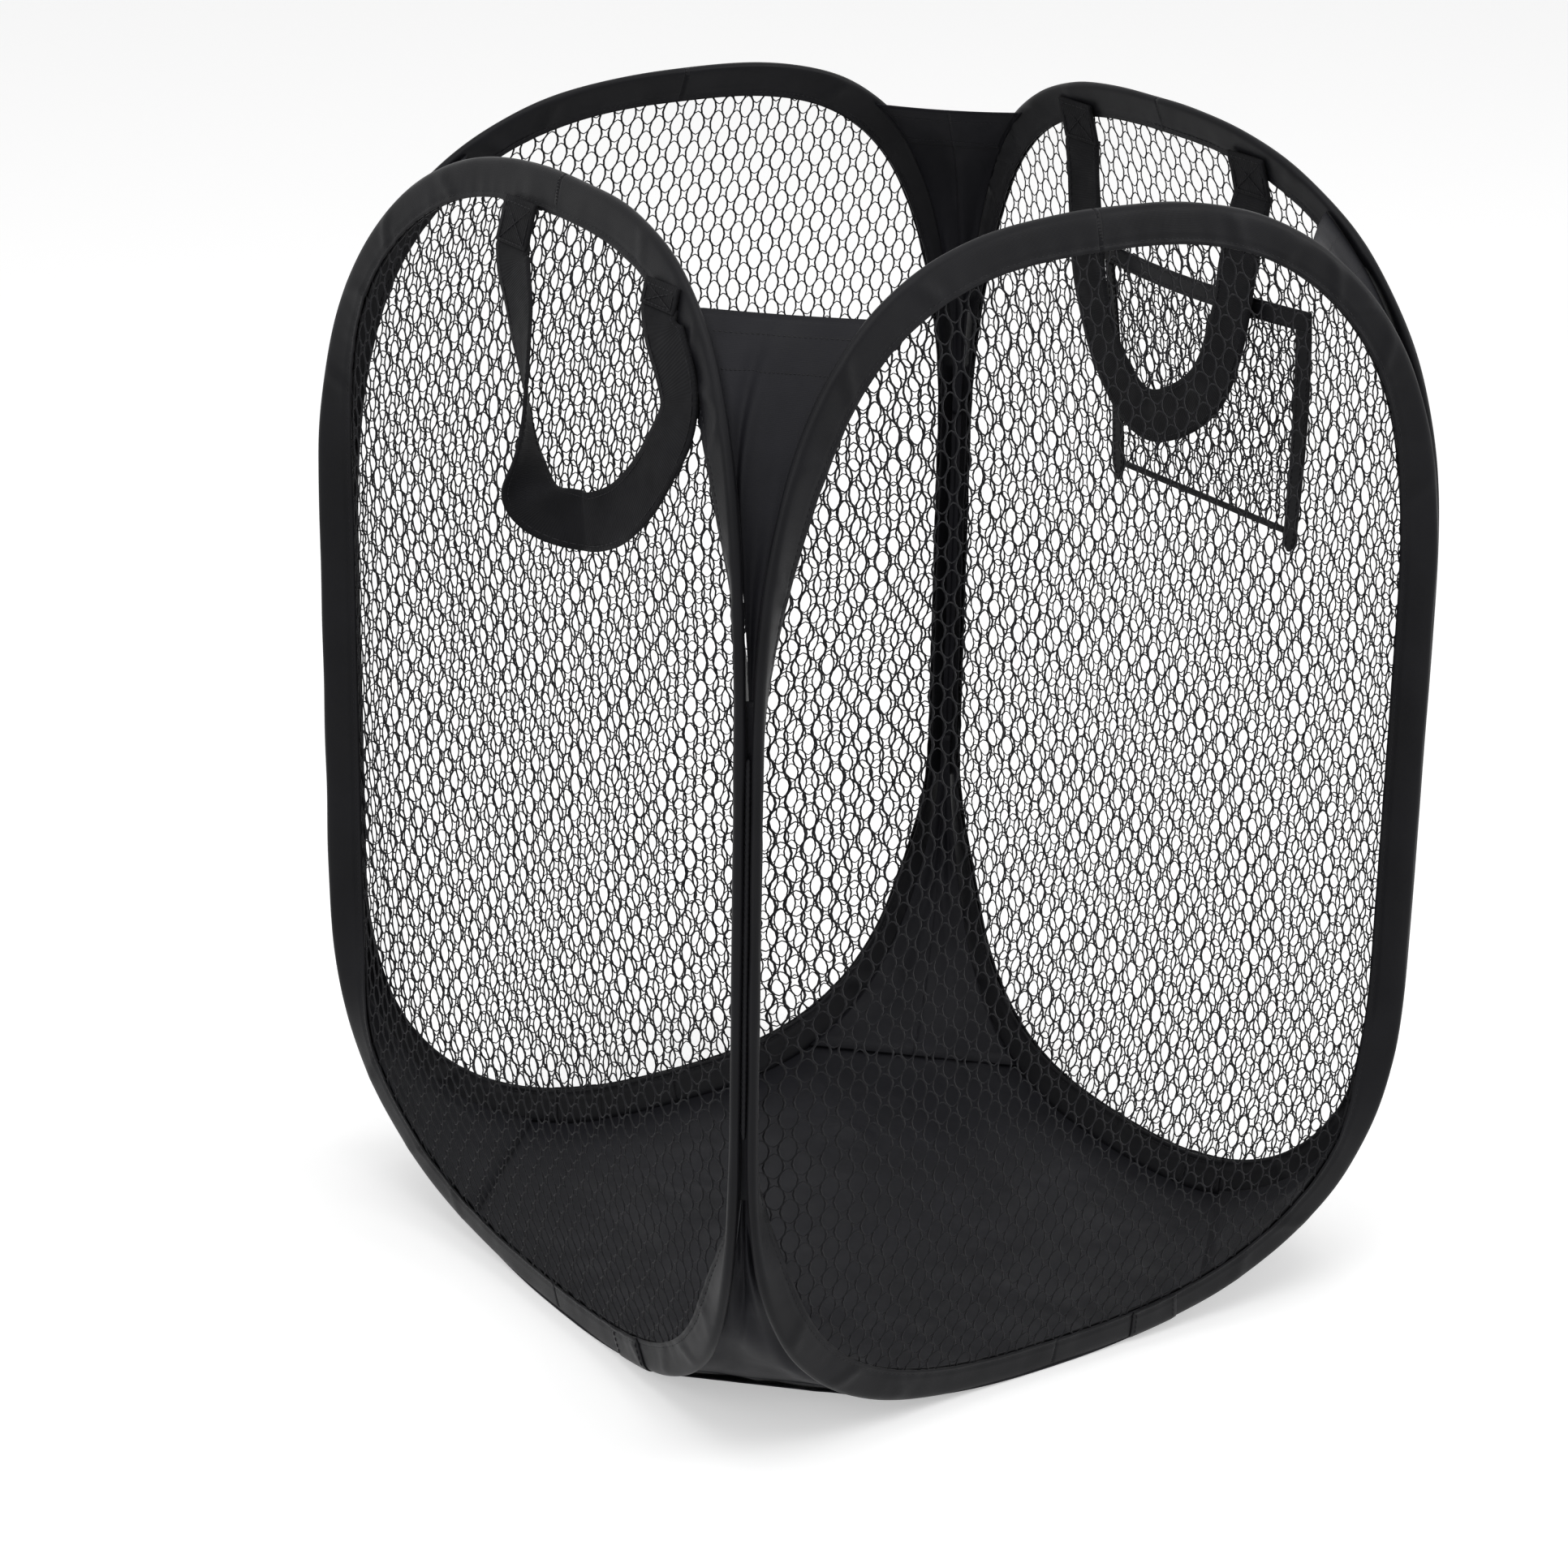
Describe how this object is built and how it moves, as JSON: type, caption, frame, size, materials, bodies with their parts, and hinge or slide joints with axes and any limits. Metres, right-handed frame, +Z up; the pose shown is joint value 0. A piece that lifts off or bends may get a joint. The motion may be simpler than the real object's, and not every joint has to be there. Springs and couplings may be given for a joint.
{
  "type": "pop up laundry hamper",
  "caption": "Open-top collapsible laundry hamper with oval wire hoops, net side panels, cloth corner gussets, strap handles and a net pocket.",
  "frame": {"origin": "on the floor, under the middle of the open hamper, at the flat middle of the cloth bottom", "axes": "+Z up, -Y out of the front panel, -X out of the panel that carries the outer handle, +X out of the panel with the pocket"},
  "size_m": [0.4086, 0.385, 0.557],
  "materials": {
    "spring_wire": "bare spring steel, sewn in",
    "binding_tape": "black woven nylon tape, faint sheen",
    "net": "black knitted polyester net",
    "gusset_cloth": "black coated nylon cloth, soft wrinkles",
    "strap": "black nylon strap, stitched edges",
    "thread": "black sewing thread"
  },
  "bodies": {
    "front": {"front_hoop_wire": "spring_wire", "front_binding": "binding_tape", "front_binding_lap": "binding_tape", "front_net": "net", "front_left_gusset": "gusset_cloth", "front_left_gusset_hem": "gusset_cloth", "front_left_bottom_gusset": "gusset_cloth", "front_left_seam": "binding_tape", "front_right_gusset": "gusset_cloth", "front_right_gusset_hem": "gusset_cloth", "front_right_bottom_gusset": "gusset_cloth", "front_right_seam": "binding_tape", "bottom_panel": "gusset_cloth"},
    "left": {"left_hoop_wire": "spring_wire", "left_binding": "binding_tape", "left_binding_lap": "binding_tape", "left_net": "net", "left_handle_end_back": "strap", "left_handle_end_front": "strap"},
    "right": {"right_hoop_wire": "spring_wire", "right_binding": "binding_tape", "right_binding_lap": "binding_tape", "right_net": "net", "right_handle_end_front": "strap", "right_handle_end_back": "strap", "pocket_net": "net", "pocket_top_band": "binding_tape", "pocket_tape_front": "binding_tape", "pocket_tape_back": "binding_tape", "pocket_bottom_seam": "thread", "pocket_tie": "binding_tape"},
    "back": {"back_hoop_wire": "spring_wire", "back_binding": "binding_tape", "back_binding_lap": "binding_tape", "back_net": "net", "back_right_gusset": "gusset_cloth", "back_right_gusset_hem": "gusset_cloth", "back_right_bottom_gusset": "gusset_cloth", "back_right_seam": "binding_tape", "back_left_gusset": "gusset_cloth", "back_left_gusset_hem": "gusset_cloth", "back_left_bottom_gusset": "gusset_cloth", "back_left_seam": "binding_tape"},
    "left_handle": {"left_handle": "strap"},
    "right_handle": {"right_handle": "strap"}
  },
  "joints": [
    {"name": "left_panel_fold", "type": "hinge", "parent": "front", "child": "left", "pos_m": [-0.18755, -0.18755, 0.255], "axis": [0, 0, 1], "range_deg": [-55, 0], "deforming": ["front_left_gusset", "front_left_gusset_hem", "front_left_bottom_gusset", "bottom_panel"]},
    {"name": "right_panel_fold", "type": "hinge", "parent": "front", "child": "right", "pos_m": [0.18755, -0.18755, 0.255], "axis": [0, 0, 1], "range_deg": [-55, 0], "deforming": ["front_right_gusset", "front_right_gusset_hem", "front_right_bottom_gusset", "bottom_panel"]},
    {"name": "back_panel_fold", "type": "hinge", "parent": "left", "child": "back", "pos_m": [-0.18755, 0.18755, 0.255], "axis": [0, 0, 1], "range_deg": [0, 55], "deforming": ["back_left_gusset", "back_left_gusset_hem", "back_left_bottom_gusset", "back_right_gusset", "back_right_gusset_hem", "back_right_bottom_gusset", "bottom_panel"]},
    {"name": "left_handle_swing", "type": "hinge", "parent": "left", "child": "left_handle", "pos_m": [-0.17895, -0.037, 0.522], "axis": [0, 1, 0], "range_deg": [0, 160]},
    {"name": "right_handle_swing", "type": "hinge", "parent": "right", "child": "right_handle", "pos_m": [0.16985, 0.002, 0.522], "axis": [0, 1, 0], "range_deg": [0, 160]}
  ],
  "couplings": [
    {"joint": "right_panel_fold", "follows": "left_panel_fold", "ratio": 1},
    {"joint": "back_panel_fold", "follows": "left_panel_fold", "ratio": -1}
  ]
}
